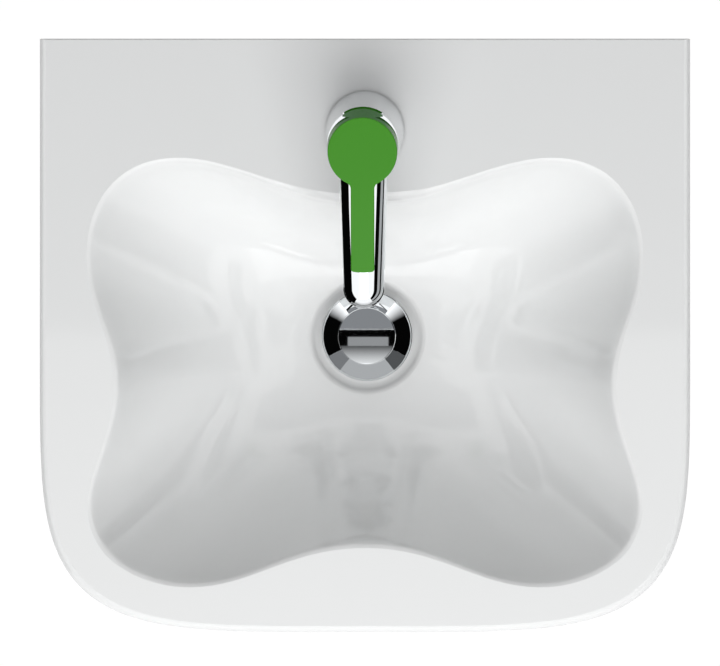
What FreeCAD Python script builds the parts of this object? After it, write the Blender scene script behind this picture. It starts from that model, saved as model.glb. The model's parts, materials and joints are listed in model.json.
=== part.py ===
import FreeCAD, Part

import math
import os

# Wall-hung hand basin with a leaning single-lever tap and a push waste.
# Millimetres. The wall is the plane y = 0, the basin reaches towards -Y, and +Z is up.
# The model is drawn with the deck at z = 0 and exported with the wall bolts at z = 0.

V = FreeCAD.Vector
UP = V(0, 0, 1)
ACROSS = V(1, 0, 0)
TO_WALL = V(0, 1, 0)

# Basin: overall form
basin_width = 450.0
basin_depth = 410.0
basin_height = 150.0
apron_height = 34.0
shoulder_depth = 210.0
corner_fullness = 4.6
belly_fullness = 2.4
underside_width_share = 0.60
underside_depth_share = 0.66
deck_thickness = 12.0
skin_thickness = 9.0
rear_wall_thickness = 13.0
front_edge_radius = 5.0
rear_edge_radius = 1.2

# Basin: bowl
bowl_depth = 115.0
bowl_fall = 2.6
bowl_wall = 9.0
rim_radius = 6.0
rim_overrun = 1.0
drain_from_wall = 207.0
drain_radius = 40.0
recess_radius = 44.5
bowl_centre_from_wall = 230.0
overrun = 12.0
loft_degree = 3

# Half of the rim, from the back middle round to the front middle:
# shares of half the basin's width and of its depth from the wall.
rim_shares = [
    (0.000, 0.270), (0.151, 0.264), (0.302, 0.240), (0.444, 0.215), (0.578, 0.2055),
    (0.707, 0.223), (0.800, 0.273), (0.841, 0.349), (0.827, 0.429), (0.778, 0.510),
    (0.758, 0.580), (0.782, 0.663), (0.824, 0.732), (0.841, 0.795), (0.800, 0.856),
    (0.689, 0.901), (0.551, 0.918), (0.400, 0.907), (0.267, 0.8805), (0.133, 0.857),
    (0.000, 0.849),
]
# How far round its turn each section of an edge's rounding lies.
edge_turn_shares = [0.0, 0.25, 0.5, 0.75, 1.0]
rim_turn_shares = [0.15, 0.35, 0.55, 0.78]
# How far each bowl section has moved from the rim towards the drain.
bowl_level_shares = [0.06, 0.14, 0.24, 0.36, 0.50, 0.66, 0.83, 1.0]
# How far down the belly each hull section lies.
belly_level_shares = [0.0, 0.2, 0.4, 0.6, 0.78, 0.92, 1.0]
# How far round the quarter turn each point of the front outline lies.
front_turn_shares = [0.0, 0.03, 0.10, 0.2, 0.3, 0.4, 0.5, 0.6, 0.7, 0.8, 0.9]

# Basin: wall fixing, tap hole, overflow and service opening
bolt_spacing = 280.0
bolt_below_deck = 85.0
bolt_hole_radius = 7.0
tap_from_wall = 64.0
tap_hole_radius = 17.5
tap_pad_radius = 32.0
tap_pad_drop = 4.0
overflow_radius = 9.0
overflow_below_deck = 46.0
channel_width = 24.0
channel_gap = 10.0
channel_wall = 7.0
bolt_to_service = 30.0
service_depth = 98.0
rear_window_below_deck = 36.0
side_window_low = 115.0
bolt_to_side_window = 24.0
side_window_margin = 26.0

# Basin: waste boss
boss_radius = 38.0
boss_drop = 7.0
waste_hole_radius = 23.0
chamber_radius = 30.0
upper_seat_thickness = 11.0
lower_seat_thickness = 11.0
recess_depth = 4.0
recess_lift = 0.1
recess_flat_margin = 2.0
countersink_radius = 31.0
countersink_depth = 8.0

# Tap: body and spout, in the tap's own leaning frame
lean_degrees = 9.0
base_radius = 27.4
neck_radius = 22.8
neck_height = 104.0
body_top = 90.0
spout_height = 70.0
spout_root_radius = 16.3
spout_tip_radius = 13.85
spout_reach = 98.5
spout_fillet = 3.0
outlet_radius = 13.0
outlet_drop = 17.5
gasket_thickness = 1.5
gasket_radius = 26.0
body_cavity_radius = 21.0
body_cavity_height = 32.0
cartridge_floor = 66.0
waterway_radius = 6.5
rising_way_radius = 5.0
inlet_radius = 4.5
inlet_depth = 12.0
inlet_offset = 8.0
inlet_back = -6.0
feed_radius = 3.0
aerator_bore_radius = 11.0
aerator_bore_depth = 8.0

# Tap: fixing
stud_radius = 4.0
stud_back = 11.0
stud_grip = 12.0
clamp_radius = 25.0
clamp_rubber_thickness = 2.5
clamp_plate_thickness = 3.0
clamp_slot_width = 34.0
nut_height = 6.5
nut_across_flats = 13.0
stud_tail = 14.0

# Tap: cartridge
cartridge_radius = 17.5
cartridge_foot = 4.0
seal_squeeze = 0.6
disc_thickness = 4.0
fixed_disc_radius = 14.5
moving_disc_radius = 12.0
moving_disc_thickness = 3.0
carrier_height = 5.3
cup_wall = 1.2
neck_outer_radius = 15.0
neck_top = 99.0
rotor_radius = 12.1
rotor_shoulder_radius = 13.6
rotor_shoulder_height = 1.6
rotor_top = 99.5
running_gap = 0.1
body_gap = 0.3
port_radius = 3.0
port_offset = 7.0
pivot_height = 90.0
pivot_radius = 1.5
pin_gap = 0.05
throw_arm = 9.0
ball_radius = 3.2
ball_gap = 0.3
shank_radius = 2.2
stem_width = 8.0
stem_top = 113.0
nut_ring_radius = 19.4
nut_seat = 86.0
nut_notches = 4
notch_width = 4.0
notch_depth = 2.0
seal_wire = 1.0

# Tap: turning collar and lever
collar_floor = 2.2
collar_mouth_radius = 15.6
notch_from_axis = 17.6
lever_gap = 0.4
lever_top = 118.0
lever_radius = 22.2
lever_forward = 4.1
lever_wall = 2.8
lever_crown = 3.6
tongue_width = 25.0
tongue_slot_gap = 0.5
tongue_travel = 11.5
lift_degrees = 25.0
grip_width = 15.1
grip_reach = 81.5
grip_thickness = 5.5
grip_tip_thickness = 4.2
grip_bow = 0.8
grip_corner_radius = 2.0
grip_root_radius = 4.0
lever_edge_radius = 0.8
hub_radius = 8.5
hub_bottom = 106.0
screw_radius = 2.5
screw_recess = 1.2
screw_height = 110.0
plug_thickness = 1.6

# Tap: aerator
aerator_ring_radius = 12.0
aerator_lip = 2.4
aerator_wall = 1.6
aerator_hole_radius = 1.1
aerator_ring_holes = 8
aerator_insert_height = 4.0
aerator_washer_height = 1.2

# Waste
flange_radius = 33.5
flange_thickness = 2.5
flange_gasket_thickness = 1.0
flange_seat_radius = 30.0
flange_cone_radius = 29.5
flange_cone_depth = 8.0
tube_radius = 20.95
tube_wall = 2.6
tube_length = 94.0
tail_length = 30.0
relief_width = 2.0
relief_depth = 0.8
window_width = 9.0
window_height = 13.0
window_count = 3
first_window_degrees = 90
spoke_thickness = 2.6
spoke_height = 6.0
spoke_count = 3
first_spoke_degrees = 30
hub_outer_radius = 9.5
spider_drop = 34.0
lower_gasket_height = 6.0
lower_gasket_radius = 31.0
slip_washer_thickness = 1.5
back_nut_height = 9.0
back_nut_across_flats = 52.0
barrel_radius = 7.5
barrel_bore_radius = 6.0
barrel_length = 40.0
barrel_top_drop = 12.0
barrel_cap = 3.0
thread_gap = 0.1

# Waste: stopper
stopper_radius = 33.0
crown_radius = 21.0
crown_step = 0.5
stopper_rise = 8.6
stopper_rim = 1.2
stopper_bulge_share = 0.72
stopper_shell = 2.5
stopper_travel = 8.0
stopper_seat_gap = 0.5
stopper_boss_radius = 8.0
stopper_seal_radius = 27.7
stopper_seal_height = 1.8
plunger_radius = 3.8
plunger_head_radius = 5.7
plunger_head_height = 3.0
spring_radius = 4.4
spring_wire = 1.2
spring_turns = 6
spring_arcs = 4


def cylinder(radius, low, high, x=0, y=0):
    """Upright cylinder between two heights."""
    return Part.makeCylinder(radius, high - low, V(x, y, low), UP)


def ring(outer, inner, low, high, x=0, y=0):
    """Upright ring between two heights."""
    return cylinder(outer, low, high, x, y).cut(cylinder(inner, low, high, x, y))


def taper(low_radius, high_radius, low, high, x=0, y=0):
    """Upright frustum between two heights."""
    return Part.makeCone(low_radius, high_radius, high - low, V(x, y, low), UP)


def rod(start, end, radius):
    """Cylinder from one point to another."""
    along = end.sub(start)
    return Part.makeCylinder(radius, along.Length, start, along)


def block(x_low, x_high, y_low, y_high, low, high):
    """Box between three pairs of planes."""
    return Part.makeBox(x_high - x_low, y_high - y_low, high - low, V(x_low, y_low, low))


def prism(points, direction):
    """Solid swept from a closed outline of straight sides."""
    outline = Part.makePolygon(list(points) + [points[0]])
    return Part.Face(outline).extrude(direction)


def hexagon(across_flats, low, high, x=0, y=0):
    """Upright hexagonal prism."""
    corner = across_flats / math.sqrt(3)
    angles = [math.radians(60 * side) for side in range(6)]
    points = [V(x + corner * math.cos(a), y + corner * math.sin(a), low) for a in angles]
    return prism(points, UP * (high - low))


def fuse_all(shapes):
    """One solid from several that touch."""
    whole = shapes[0].multiFuse(shapes[1:])
    return whole.removeSplitter()


def cut_all(shape, tools):
    """A solid less several others."""
    return shape.cut(tools)


# Places that several pieces share

drain_y = -drain_from_wall
bowl_bottom = -bowl_depth
recess_floor = bowl_bottom - recess_depth
boss_bottom = -basin_height - boss_drop
seat_top = recess_floor - upper_seat_thickness
seat_bottom = boss_bottom + lower_seat_thickness
pad_bottom = -deck_thickness - tap_pad_drop
flange_top = recess_floor + flange_gasket_thickness + flange_thickness
flange_bottom = flange_top - flange_thickness
tube_bottom = flange_top - tube_length
lower_gasket_bottom = boss_bottom - lower_gasket_height
washer_bottom = lower_gasket_bottom - slip_washer_thickness
spider_top = flange_top - spider_drop
barrel_top = flange_top - barrel_top_drop
barrel_bottom = barrel_top - barrel_length
stopper_low = flange_top + stopper_travel + stopper_seat_gap
tap_y = -tap_from_wall
outlet_centre = V(0, -spout_reach, spout_height)


def lean(shape):
    """Carry a piece from the tap's leaning frame to its place on the deck."""
    placed = shape.copy()
    placed.rotate(V(0, 0, 0), ACROSS, lean_degrees)
    placed.translate(V(0, tap_y, 0))
    return placed


def lean_point(point):
    """Where a point of the tap's leaning frame lies on the deck."""
    turn = FreeCAD.Rotation(ACROSS, lean_degrees)
    return turn.multVec(point).add(V(0, tap_y, 0))


outlet_place = lean_point(outlet_centre)
outlet_face = outlet_place.z - outlet_drop
plumb = FreeCAD.Rotation(ACROSS, -lean_degrees).multVec(V(0, 0, -1))


# Basin

def front_quarter(half_width, depth, shoulder):
    """Points from the side of the outline round towards its front middle."""
    power = 2 / corner_fullness
    quarter = []
    for share in front_turn_shares:
        angle = share * math.pi / 2
        across = half_width * math.cos(angle) ** power
        along = shoulder + (depth - shoulder) * math.sin(angle) ** power
        quarter.append((across, along))
    return quarter


def front_points(half_width, depth, shoulder):
    """Points from one shoulder round the front to the other."""
    quarter = front_quarter(half_width, depth, shoulder)
    left = [(-across, along) for across, along in reversed(quarter)]
    return quarter + [(0, depth)] + left


def chord_lengths(points):
    """Distance along a row of points at each of them."""
    lengths = [0.0]
    for start, end in zip(points, points[1:]):
        lengths.append(lengths[-1] + math.dist(start, end))
    return lengths


def front_curve(half_width, depth, shoulder, height):
    """Front of the outline, from one shoulder round to the other."""
    points = front_points(half_width, depth, shoulder)
    full_size = front_points(basin_width / 2, basin_depth, shoulder_depth)
    places = [V(across, -along, height) for across, along in points]
    curve = Part.BSplineCurve()
    curve.interpolate(Points=places, Parameters=chord_lengths(full_size),
                      InitialTangent=-TO_WALL, FinalTangent=TO_WALL)
    return curve.toShape()


def hull_wire(width_share, depth_share, inset, height):
    """Outline of the basin at one height, drawn in by an inset and open-ended behind the wall."""
    half = basin_width / 2 * width_share - inset
    depth = basin_depth * depth_share - inset
    shoulder = shoulder_depth * depth_share
    back_right = V(half, overrun, height)
    front_right = V(half, -shoulder, height)
    back_left = V(-half, overrun, height)
    front_left = V(-half, -shoulder, height)
    sides = [
        Part.makeLine(back_right, front_right),
        front_curve(half, depth, shoulder, height),
        Part.makeLine(front_left, back_left),
        Part.makeLine(back_left, back_right),
    ]
    return Part.Wire(sides)


def hull(inset, top, bottom):
    """Apron and rounded belly of the basin, drawn in by an inset."""
    apron_bottom = -apron_height
    apron_face = Part.Face(hull_wire(1, 1, inset, top))
    apron = apron_face.extrude(UP * (apron_bottom - top))
    sections = []
    for share in belly_level_shares:
        round_in = 1 - (1 - share ** belly_fullness) ** (1 / belly_fullness)
        width_share = 1 - (1 - underside_width_share) * round_in
        depth_share = 1 - (1 - underside_depth_share) * round_in
        height = apron_bottom + (bottom - apron_bottom) * share
        sections.append(hull_wire(width_share, depth_share, inset, height))
    belly = Part.makeLoft(sections, True, False, False, loft_degree)
    return apron.fuse(belly)


def rounded_top():
    """Top of the basin with rounded front and side edges."""
    sections = []
    for share in edge_turn_shares:
        turn = share * math.pi / 2
        inset = front_edge_radius * (1 - math.sin(turn))
        drop = front_edge_radius * (1 - math.cos(turn))
        sections.append(hull_wire(1, 1, inset, -drop))
    return Part.makeLoft(sections, True, False, False, loft_degree)


def room_before_wall():
    """Space before the wall, with its top edge along the wall rounded off."""
    room = block(-basin_width, basin_width, -2 * basin_depth, 0, -2 * basin_height, 0)
    top_back = [edge for edge in room.Edges if edge.BoundBox.YMin > -rear_edge_radius < edge.BoundBox.ZMin]
    return room.makeFillet(rear_edge_radius, top_back)


def rim_points():
    """Plan points of the whole rim, anticlockwise from the back middle."""
    half = [(x * basin_width / 2, -d * basin_depth) for x, d in rim_shares]
    left = [(-x, y) for x, y in half]
    return left + list(reversed(half))[1:-1]


def drain_points():
    """Plan points of the drain's circle, each in line with its rim point."""
    points = []
    for x, y in rim_points():
        angle = math.atan2(y + bowl_centre_from_wall, x)
        points.append((drain_radius * math.cos(angle), drain_y + drain_radius * math.sin(angle)))
    return points


def bowl_wire(points, height):
    """Closed smooth section of the bowl."""
    rim = rim_points()
    places = [V(x, y, height) for x, y in points]
    curve = Part.BSplineCurve()
    curve.interpolate(Points=places, PeriodicFlag=True, Parameters=chord_lengths(rim + rim[:1]))
    return Part.Wire([curve.toShape()])


def level_at(depth):
    """How far the bowl has moved from rim to drain at a depth."""
    return 1 - (1 - depth / bowl_depth) ** (1 / bowl_fall)


def bowl_section(level, offset):
    """One section of the bowl, moved outwards by an offset."""
    rim, drain = rim_points(), drain_points()
    left = 1 - level
    spans = [math.dist(a, b) for a, b in zip(rim, drain)]
    steepness = bowl_depth * bowl_fall * left ** (bowl_fall - 1)
    mean_slope = steepness * len(spans) / sum(spans)
    height = -bowl_depth * (1 - left ** bowl_fall) - offset / math.hypot(1, mean_slope)
    points = []
    for (rim_x, rim_y), (end_x, end_y), span in zip(rim, drain, spans):
        slope = steepness / span
        push = offset * slope / math.hypot(1, slope) / span
        x = rim_x * left + end_x * level + (rim_x - end_x) * push
        y = rim_y * left + end_y * level + (rim_y - end_y) * push
        points.append((x, y))
    return bowl_wire(points, height)


def rim_section(turn, above):
    """Section of the rounded rim at an angle of its turn, or just above the deck."""
    rim, drain = rim_points(), drain_points()
    depth = rim_radius * (1 - math.cos(turn))
    level = level_at(depth)
    points = []
    for (rim_x, rim_y), (end_x, end_y) in zip(rim, drain):
        span = math.dist((rim_x, rim_y), (end_x, end_y))
        wall_angle = math.atan(bowl_depth * bowl_fall / span)
        out = -level * span
        if turn < wall_angle:
            out = rim_radius * (math.tan(wall_angle / 2) - math.sin(turn))
        out += (above + depth) / math.tan(turn) if above else 0
        points.append((rim_x + (rim_x - end_x) * out / span, rim_y + (rim_y - end_y) * out / span))
    return bowl_wire(points, above if above else -depth)


def bowl():
    """Solid that fills the bowl up to just above its rounded rim."""
    turns = [share * math.pi / 2 for share in rim_turn_shares]
    sections = [rim_section(turns[0], rim_overrun)]
    sections += [rim_section(turn, 0) for turn in turns]
    sections += [bowl_section(level, 0) for level in bowl_level_shares]
    return Part.makeLoft(sections, True, False, False, loft_degree)


def grown_bowl(offset):
    """Outside of the bowl's wall, grown by an offset and open above the deck."""
    levels = [-bowl_level_shares[0], 0] + bowl_level_shares
    sections = [bowl_section(level, offset) for level in levels]
    return Part.makeLoft(sections, True, False, False, loft_degree)


def overflow_slab(offset, width):
    """Part of the grown bowl behind the drain, within the channel's width."""
    half = width / 2
    top = -overflow_below_deck + overflow_radius + (width - channel_width) / 2
    slab = block(-half, half, drain_y, 0, boss_bottom, top)
    return grown_bowl(offset).common(slab)


def make_void():
    """Hollow behind the bowl, less the walls that stand in it."""
    void = hull(skin_thickness, -deck_thickness, -basin_height + skin_thickness)
    rear_wall = block(-basin_width, basin_width, -rear_wall_thickness, 2 * overrun,
                      -2 * basin_height, overrun)
    tap_pad = cylinder(tap_pad_radius, pad_bottom, 0, 0, tap_y)
    waste_boss = cylinder(boss_radius, boss_bottom, bowl_bottom, 0, drain_y)
    outside = overflow_slab(bowl_wall + channel_gap + channel_wall, channel_width + 2 * channel_wall)
    return cut_all(void, [rear_wall, grown_bowl(bowl_wall), tap_pad, waste_boss, outside])


def make_basin():
    """Ceramic casting."""
    boss = cylinder(boss_radius, boss_bottom, recess_floor, 0, drain_y)
    body = fuse_all([rounded_top(), hull(0, -front_edge_radius, -basin_height), boss])
    body = body.common(room_before_wall())
    channel = overflow_slab(bowl_wall + channel_gap, channel_width).cut(grown_bowl(bowl_wall))
    chamber = cylinder(chamber_radius, seat_bottom, seat_top, 0, drain_y)
    return cut_all(body, [bowl(), make_void(), channel, chamber] + basin_holes())


def waste_recess():
    """Shallow dish round the waste, with a soft edge of two equal arcs."""
    flat_radius = flange_radius + recess_flat_margin
    top = bowl_bottom + recess_lift
    rise, run = top - recess_floor, recess_radius - flat_radius
    turn = math.atan(rise / run)
    radius = (rise * rise + run * run) / (4 * rise)
    aside, up = radius * math.sin(turn), radius * (1 - math.cos(turn))
    flat_end, edge = V(flat_radius, 0, recess_floor), V(recess_radius, 0, top)
    middle = (flat_end + edge) * 0.5
    high = bowl_bottom + overrun
    outline = [
        Part.makeLine(V(0, 0, recess_floor), flat_end),
        Part.Arc(flat_end, V(flat_radius + aside, 0, recess_floor + up), middle).toShape(),
        Part.Arc(middle, V(recess_radius - aside, 0, top - up), edge).toShape(),
        Part.makeLine(edge, V(recess_radius, 0, high)),
        Part.makeLine(V(recess_radius, 0, high), V(0, 0, high)),
        Part.makeLine(V(0, 0, high), V(0, 0, recess_floor)),
    ]
    dish = Part.Face(Part.Wire(outline)).revolve(V(0, 0, 0), UP, 360)
    dish.translate(V(0, drain_y, 0))
    return dish


def basin_holes():
    """Recess, waste, overflow, tap, bolt and service openings."""
    waste = cylinder(waste_hole_radius, boss_bottom - overrun, bowl_bottom, 0, drain_y)
    countersink = waste_countersink()
    overflow_start = V(0, drain_y, -overflow_below_deck)
    overflow_end = V(0, -bowl_centre_from_wall / 2 + channel_gap, -overflow_below_deck)
    overflow = rod(overflow_start, overflow_end, overflow_radius)
    tap = cylinder(tap_hole_radius, pad_bottom - overrun, overrun, 0, tap_y)
    bolts = []
    for side in (-1, 1):
        place = V(side * bolt_spacing / 2, overrun, -bolt_below_deck)
        bolts.append(rod(place, place.sub(TO_WALL * (rear_wall_thickness + 2 * overrun)), bolt_hole_radius))
    return [waste_recess(), waste, countersink, overflow, tap] + bolts + service_openings()


def service_openings():
    """Open underside behind the bowl and the windows in the rear wall."""
    half = bolt_spacing / 2 - bolt_to_service
    low = -basin_height - overrun
    back_low, back_high = -rear_wall_thickness - overrun, overrun
    underside = block(-half, half, -service_depth, back_high, low, -basin_height + skin_thickness)
    windows = [block(-half, half, back_low, back_high, low, -rear_window_below_deck)]
    inner = bolt_spacing / 2 + bolt_to_side_window
    outer = basin_width / 2 - side_window_margin
    for low_x, high_x in ((inner, outer), (-outer, -inner)):
        windows.append(block(low_x, high_x, back_low, back_high, -side_window_low, -rear_window_below_deck))
    return [underside] + windows


def waste_countersink():
    """Conical mouth of the waste hole in the recess floor."""
    low = recess_floor - countersink_depth
    return taper(waste_hole_radius, countersink_radius, low, recess_floor, 0, drain_y)


# Tap body

def body_radius(height):
    """Outside radius of the leaning body at a height."""
    return base_radius - (base_radius - neck_radius) * height / neck_height


def tap_outside():
    """Cast body, spout and outlet boss before any bore."""
    low = -overrun
    trunk = taper(body_radius(low), body_radius(body_top), low, body_top)
    start = V(0, 0, spout_height)
    spout = Part.makeCone(spout_root_radius, spout_tip_radius, spout_reach, start, -TO_WALL)
    whole = fuse_all([trunk, spout])
    joint = [e for e in whole.Edges if is_spout_joint(e)]
    whole = whole.makeFillet(spout_fillet, joint)
    tip = Part.makeSphere(spout_tip_radius, outlet_centre)
    boss = rod(outlet_centre, outlet_centre.add(plumb * outlet_drop), outlet_radius)
    return fuse_all([whole, tip, boss])


def is_spout_joint(edge):
    """Whether an edge is the curve where the spout leaves the body."""
    box = edge.BoundBox
    tall = box.ZLength > spout_root_radius
    forward = box.YMax < 0 and box.YMin > -base_radius
    return tall and forward and box.XLength > spout_root_radius


def tap_waterways():
    """Bores inside the casting, in the leaning frame."""
    cavity = cylinder(body_cavity_radius, -2 * overrun, body_cavity_height)
    chamber = cylinder(cartridge_radius + body_gap, cartridge_floor, body_top + overrun)
    nut_bore = cylinder(nut_ring_radius + running_gap, nut_seat, body_top + overrun)
    outlet_port = cylinder(port_radius, cartridge_floor - inlet_depth, cartridge_floor, 0, -port_offset)
    rise_start = V(0, -port_offset, cartridge_floor - inlet_depth)
    rise_end = V(0, -2 * neck_radius, spout_height)
    rising = rod(rise_start, rise_end, rising_way_radius)
    along = rod(rise_end, outlet_centre, waterway_radius)
    turn = Part.makeSphere(waterway_radius, outlet_centre)
    down = rod(outlet_centre, outlet_centre.add(plumb * outlet_drop), waterway_radius)
    bore_top = outlet_centre.add(plumb * (outlet_drop - aerator_bore_depth))
    aerator = rod(bore_top, outlet_centre.add(plumb * (outlet_drop + overrun)), aerator_bore_radius)
    tools = [cavity, chamber, nut_bore, outlet_port, rising, along, turn, down, aerator]
    for side in (-1, 1):
        inlet_top = body_cavity_height + inlet_depth
        mouth = V(side * inlet_offset, inlet_back, body_cavity_height)
        tools.append(rod(mouth, V(mouth.x, mouth.y, inlet_top), inlet_radius))
        port = V(side * port_offset, port_offset, cartridge_floor)
        tools.append(rod(V(mouth.x, mouth.y, inlet_top), port, feed_radius))
    return tools


def make_tap_body():
    """Chromed casting."""
    casting = lean(cut_all(tap_outside(), tap_waterways()))
    reach = basin_depth
    below = block(-reach, reach, -reach, reach, -reach, gasket_thickness)
    stud_hole = cylinder(stud_radius + thread_gap, 0, stud_top(), 0, tap_y + stud_back)
    return cut_all(casting, [below, stud_hole])


def stud_top():
    """Height of the fixing stud's upper end inside the body."""
    return body_cavity_height + stud_grip


def make_base_gasket():
    """Rubber ring between the body and the deck."""
    return ring(gasket_radius, tap_hole_radius, 0, gasket_thickness, 0, tap_y)


def make_fixing_stud():
    """Threaded rod through the tap hole."""
    return cylinder(stud_radius, clamp_bottom() - stud_tail, stud_top(), 0, tap_y + stud_back)


def clamp_bottom():
    """Underside of the clamp plate."""
    return pad_bottom - clamp_rubber_thickness - clamp_plate_thickness


def horseshoe(low, high):
    """Round plate with a stud hole and a slot for the hoses."""
    plate = cylinder(clamp_radius, low, high, 0, tap_y)
    half = clamp_slot_width / 2
    slot_back = tap_y + stud_back - 2 * stud_radius
    slot = block(-half, half, slot_back - 2 * clamp_radius, slot_back, low, high)
    hole = cylinder(stud_radius + body_gap, low, high, 0, tap_y + stud_back)
    return cut_all(plate, [slot, hole])


def make_clamp_rubber():
    """Rubber pad under the deck."""
    return horseshoe(pad_bottom - clamp_rubber_thickness, pad_bottom)


def make_clamp_plate():
    """Steel plate under the pad."""
    return horseshoe(clamp_bottom(), pad_bottom - clamp_rubber_thickness)


def make_fixing_nut():
    """Hexagon nut under the plate."""
    place_y = tap_y + stud_back
    low, high = clamp_bottom() - nut_height, clamp_bottom()
    body = hexagon(nut_across_flats, low, high, 0, place_y)
    return body.cut(cylinder(stud_radius + thread_gap, low, high, 0, place_y))


# Cartridge

foot_top = cartridge_floor + seal_squeeze + cartridge_foot
fixed_top = foot_top + disc_thickness
moving_low = fixed_top + running_gap
moving_top = moving_low + moving_disc_thickness
carrier_top = moving_top + carrier_height
roof_low = carrier_top + 2 * body_gap
ball_height = pivot_height - throw_arm


def port_places():
    """Plan places of the two feeds and the outlet."""
    return [(-port_offset, port_offset), (port_offset, port_offset), (0, -port_offset)]


def make_cartridge_base():
    """Plastic foot with three ports, each with a seal groove below."""
    foot = cylinder(cartridge_radius, cartridge_floor + seal_squeeze, foot_top)
    tools = []
    for x, y in port_places():
        tools.append(cylinder(port_radius, cartridge_floor, foot_top, x, y))
        groove_top = cartridge_floor + seal_squeeze + 2 * seal_wire
        tools.append(cylinder(port_radius + 2 * seal_wire, cartridge_floor, groove_top, x, y))
    return lean(cut_all(foot, tools))


def make_port_seals():
    """Rubber rings in the foot's grooves."""
    rings = []
    for x, y in port_places():
        top = cartridge_floor + seal_squeeze + 2 * seal_wire
        rings.append(ring(port_radius + 2 * seal_wire, port_radius, cartridge_floor, top, x, y))
    return lean(Part.makeCompound(rings))


def make_fixed_disc():
    """Ceramic disc with three ports."""
    disc = cylinder(fixed_disc_radius, foot_top, fixed_top)
    return lean(cut_all(disc, [cylinder(port_radius, foot_top, fixed_top, x, y) for x, y in port_places()]))


def make_moving_disc():
    """Ceramic disc with a mixing pocket in its underside."""
    disc = cylinder(moving_disc_radius, moving_low, moving_top)
    pocket_top = moving_low + moving_disc_thickness / 2
    pocket = fuse_all([
        cylinder(port_radius, moving_low, pocket_top, 0, -port_offset + throw_arm / 2),
        cylinder(port_radius, moving_low, pocket_top, 0, -port_offset),
    ])
    return lean(disc.cut(pocket))


def make_disc_carrier():
    """Plastic carrier with the socket that the stem's ball pushes."""
    carrier = cylinder(moving_disc_radius, moving_top, carrier_top)
    socket_low = ball_height - ball_radius - ball_gap
    socket = cylinder(ball_radius + ball_gap, socket_low, carrier_top)
    return lean(carrier.cut(socket))


def make_cartridge_housing():
    """Plastic cup with a neck for the rotor."""
    roof_top = nut_seat
    cup = fuse_all([
        cylinder(cartridge_radius, foot_top, roof_top),
        cylinder(neck_outer_radius, roof_top, neck_top),
    ])
    inside = cylinder(cartridge_radius - cup_wall, foot_top, roof_low)
    shoulder = cylinder(rotor_shoulder_radius + running_gap, roof_low, rotor_shoulder_top() + running_gap)
    bore = cylinder(rotor_radius + running_gap, roof_low, neck_top)
    return lean(cut_all(cup, [inside, shoulder, bore]))


def rotor_shoulder_top():
    """Top of the rotor's shoulder."""
    return roof_low + rotor_shoulder_height


def seal_height():
    """Height of the rotor's seal."""
    return (pivot_height + neck_top) / 2


def stem_swing(from_pivot):
    """How far the stem's side reaches at full lift, at a distance from its pivot."""
    lift = math.radians(lift_degrees)
    return stem_width / 2 / math.cos(lift) + from_pivot * math.tan(lift) + body_gap


def make_rotor():
    """Turning sleeve, slotted for the stem and drilled for its pin."""
    sleeve = fuse_all([
        cylinder(rotor_shoulder_radius, roof_low, rotor_shoulder_top()),
        cylinder(rotor_radius, roof_low, rotor_top),
    ])
    half = stem_width / 2 + body_gap
    slot = block(-half, half, -stem_swing(pivot_height - roof_low), stem_swing(rotor_top - pivot_height),
                 roof_low, rotor_top)
    pin_hole = rod(V(-rotor_radius, 0, pivot_height), V(rotor_radius, 0, pivot_height), pivot_radius)
    return lean(cut_all(sleeve, [slot, pin_hole, seal_ring(0)]))


def seal_ring(proud):
    """Ring round the rotor, standing proud of it by a little."""
    low = seal_height() - seal_wire
    high = seal_height() + seal_wire
    return ring(rotor_radius + proud, rotor_radius - seal_wire, low, high)


def make_rotor_seal():
    """Rubber ring in the rotor's groove."""
    return lean(seal_ring(running_gap / 2))


def make_pivot_pin():
    """Steel pin on which the stem tilts."""
    half = rotor_radius - body_gap
    return lean(rod(V(-half, 0, pivot_height), V(half, 0, pivot_height), pivot_radius))


def make_stem():
    """Brass control stem: square shank above, ball below."""
    half = stem_width / 2
    square_low = carrier_top + half * math.tan(math.radians(lift_degrees)) + body_gap
    square = block(-half, half, -half, half, square_low, stem_top)
    shank = cylinder(shank_radius, ball_height, square_low)
    ball = Part.makeSphere(ball_radius, V(0, 0, ball_height))
    stem = fuse_all([square, shank, ball])
    hole = rod(V(-stem_width, 0, pivot_height), V(stem_width, 0, pivot_height), pivot_radius + pin_gap)
    return lean(stem.cut(hole))


def make_cartridge_nut():
    """Brass ring nut with notches for a spanner."""
    nut = ring(nut_ring_radius, neck_outer_radius + body_gap, nut_seat, body_top)
    notches = []
    for turn in range(nut_notches):
        notch = block(neck_outer_radius, neck_outer_radius + body_gap + notch_depth,
                      -notch_width / 2, notch_width / 2, body_top - notch_depth, body_top)
        notch.rotate(V(0, 0, 0), UP, turn * 360 / nut_notches)
        notches.append(notch)
    return lean(cut_all(nut, notches))


# Turning collar and lever

collar_low = body_top + body_gap


def make_turning_collar():
    """Chromed collar that follows the body's taper, notched behind for the lever's tongue."""
    outside = taper(body_radius(collar_low), neck_radius, collar_low, neck_height)
    floor_hole = cylinder(neck_outer_radius + body_gap, collar_low, neck_height)
    mouth = cylinder(collar_mouth_radius, collar_low + collar_floor, neck_height)
    half = tongue_width / 2 + tongue_slot_gap
    notch = block(-half, half, notch_from_axis, 2 * neck_radius, neck_height - tongue_travel, neck_height)
    return lean(cut_all(outside, [floor_hole, mouth, notch]))


def oblique_cone(low_radius, high_radius, low, high, forward):
    """Leaning frustum whose upper circle is moved forward."""
    lower = Part.Wire([Part.makeCircle(low_radius, V(0, 0, low), UP)])
    upper = Part.Wire([Part.makeCircle(high_radius, V(0, -forward, high), UP)])
    return Part.makeLoft([lower, upper], True, True)


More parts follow.
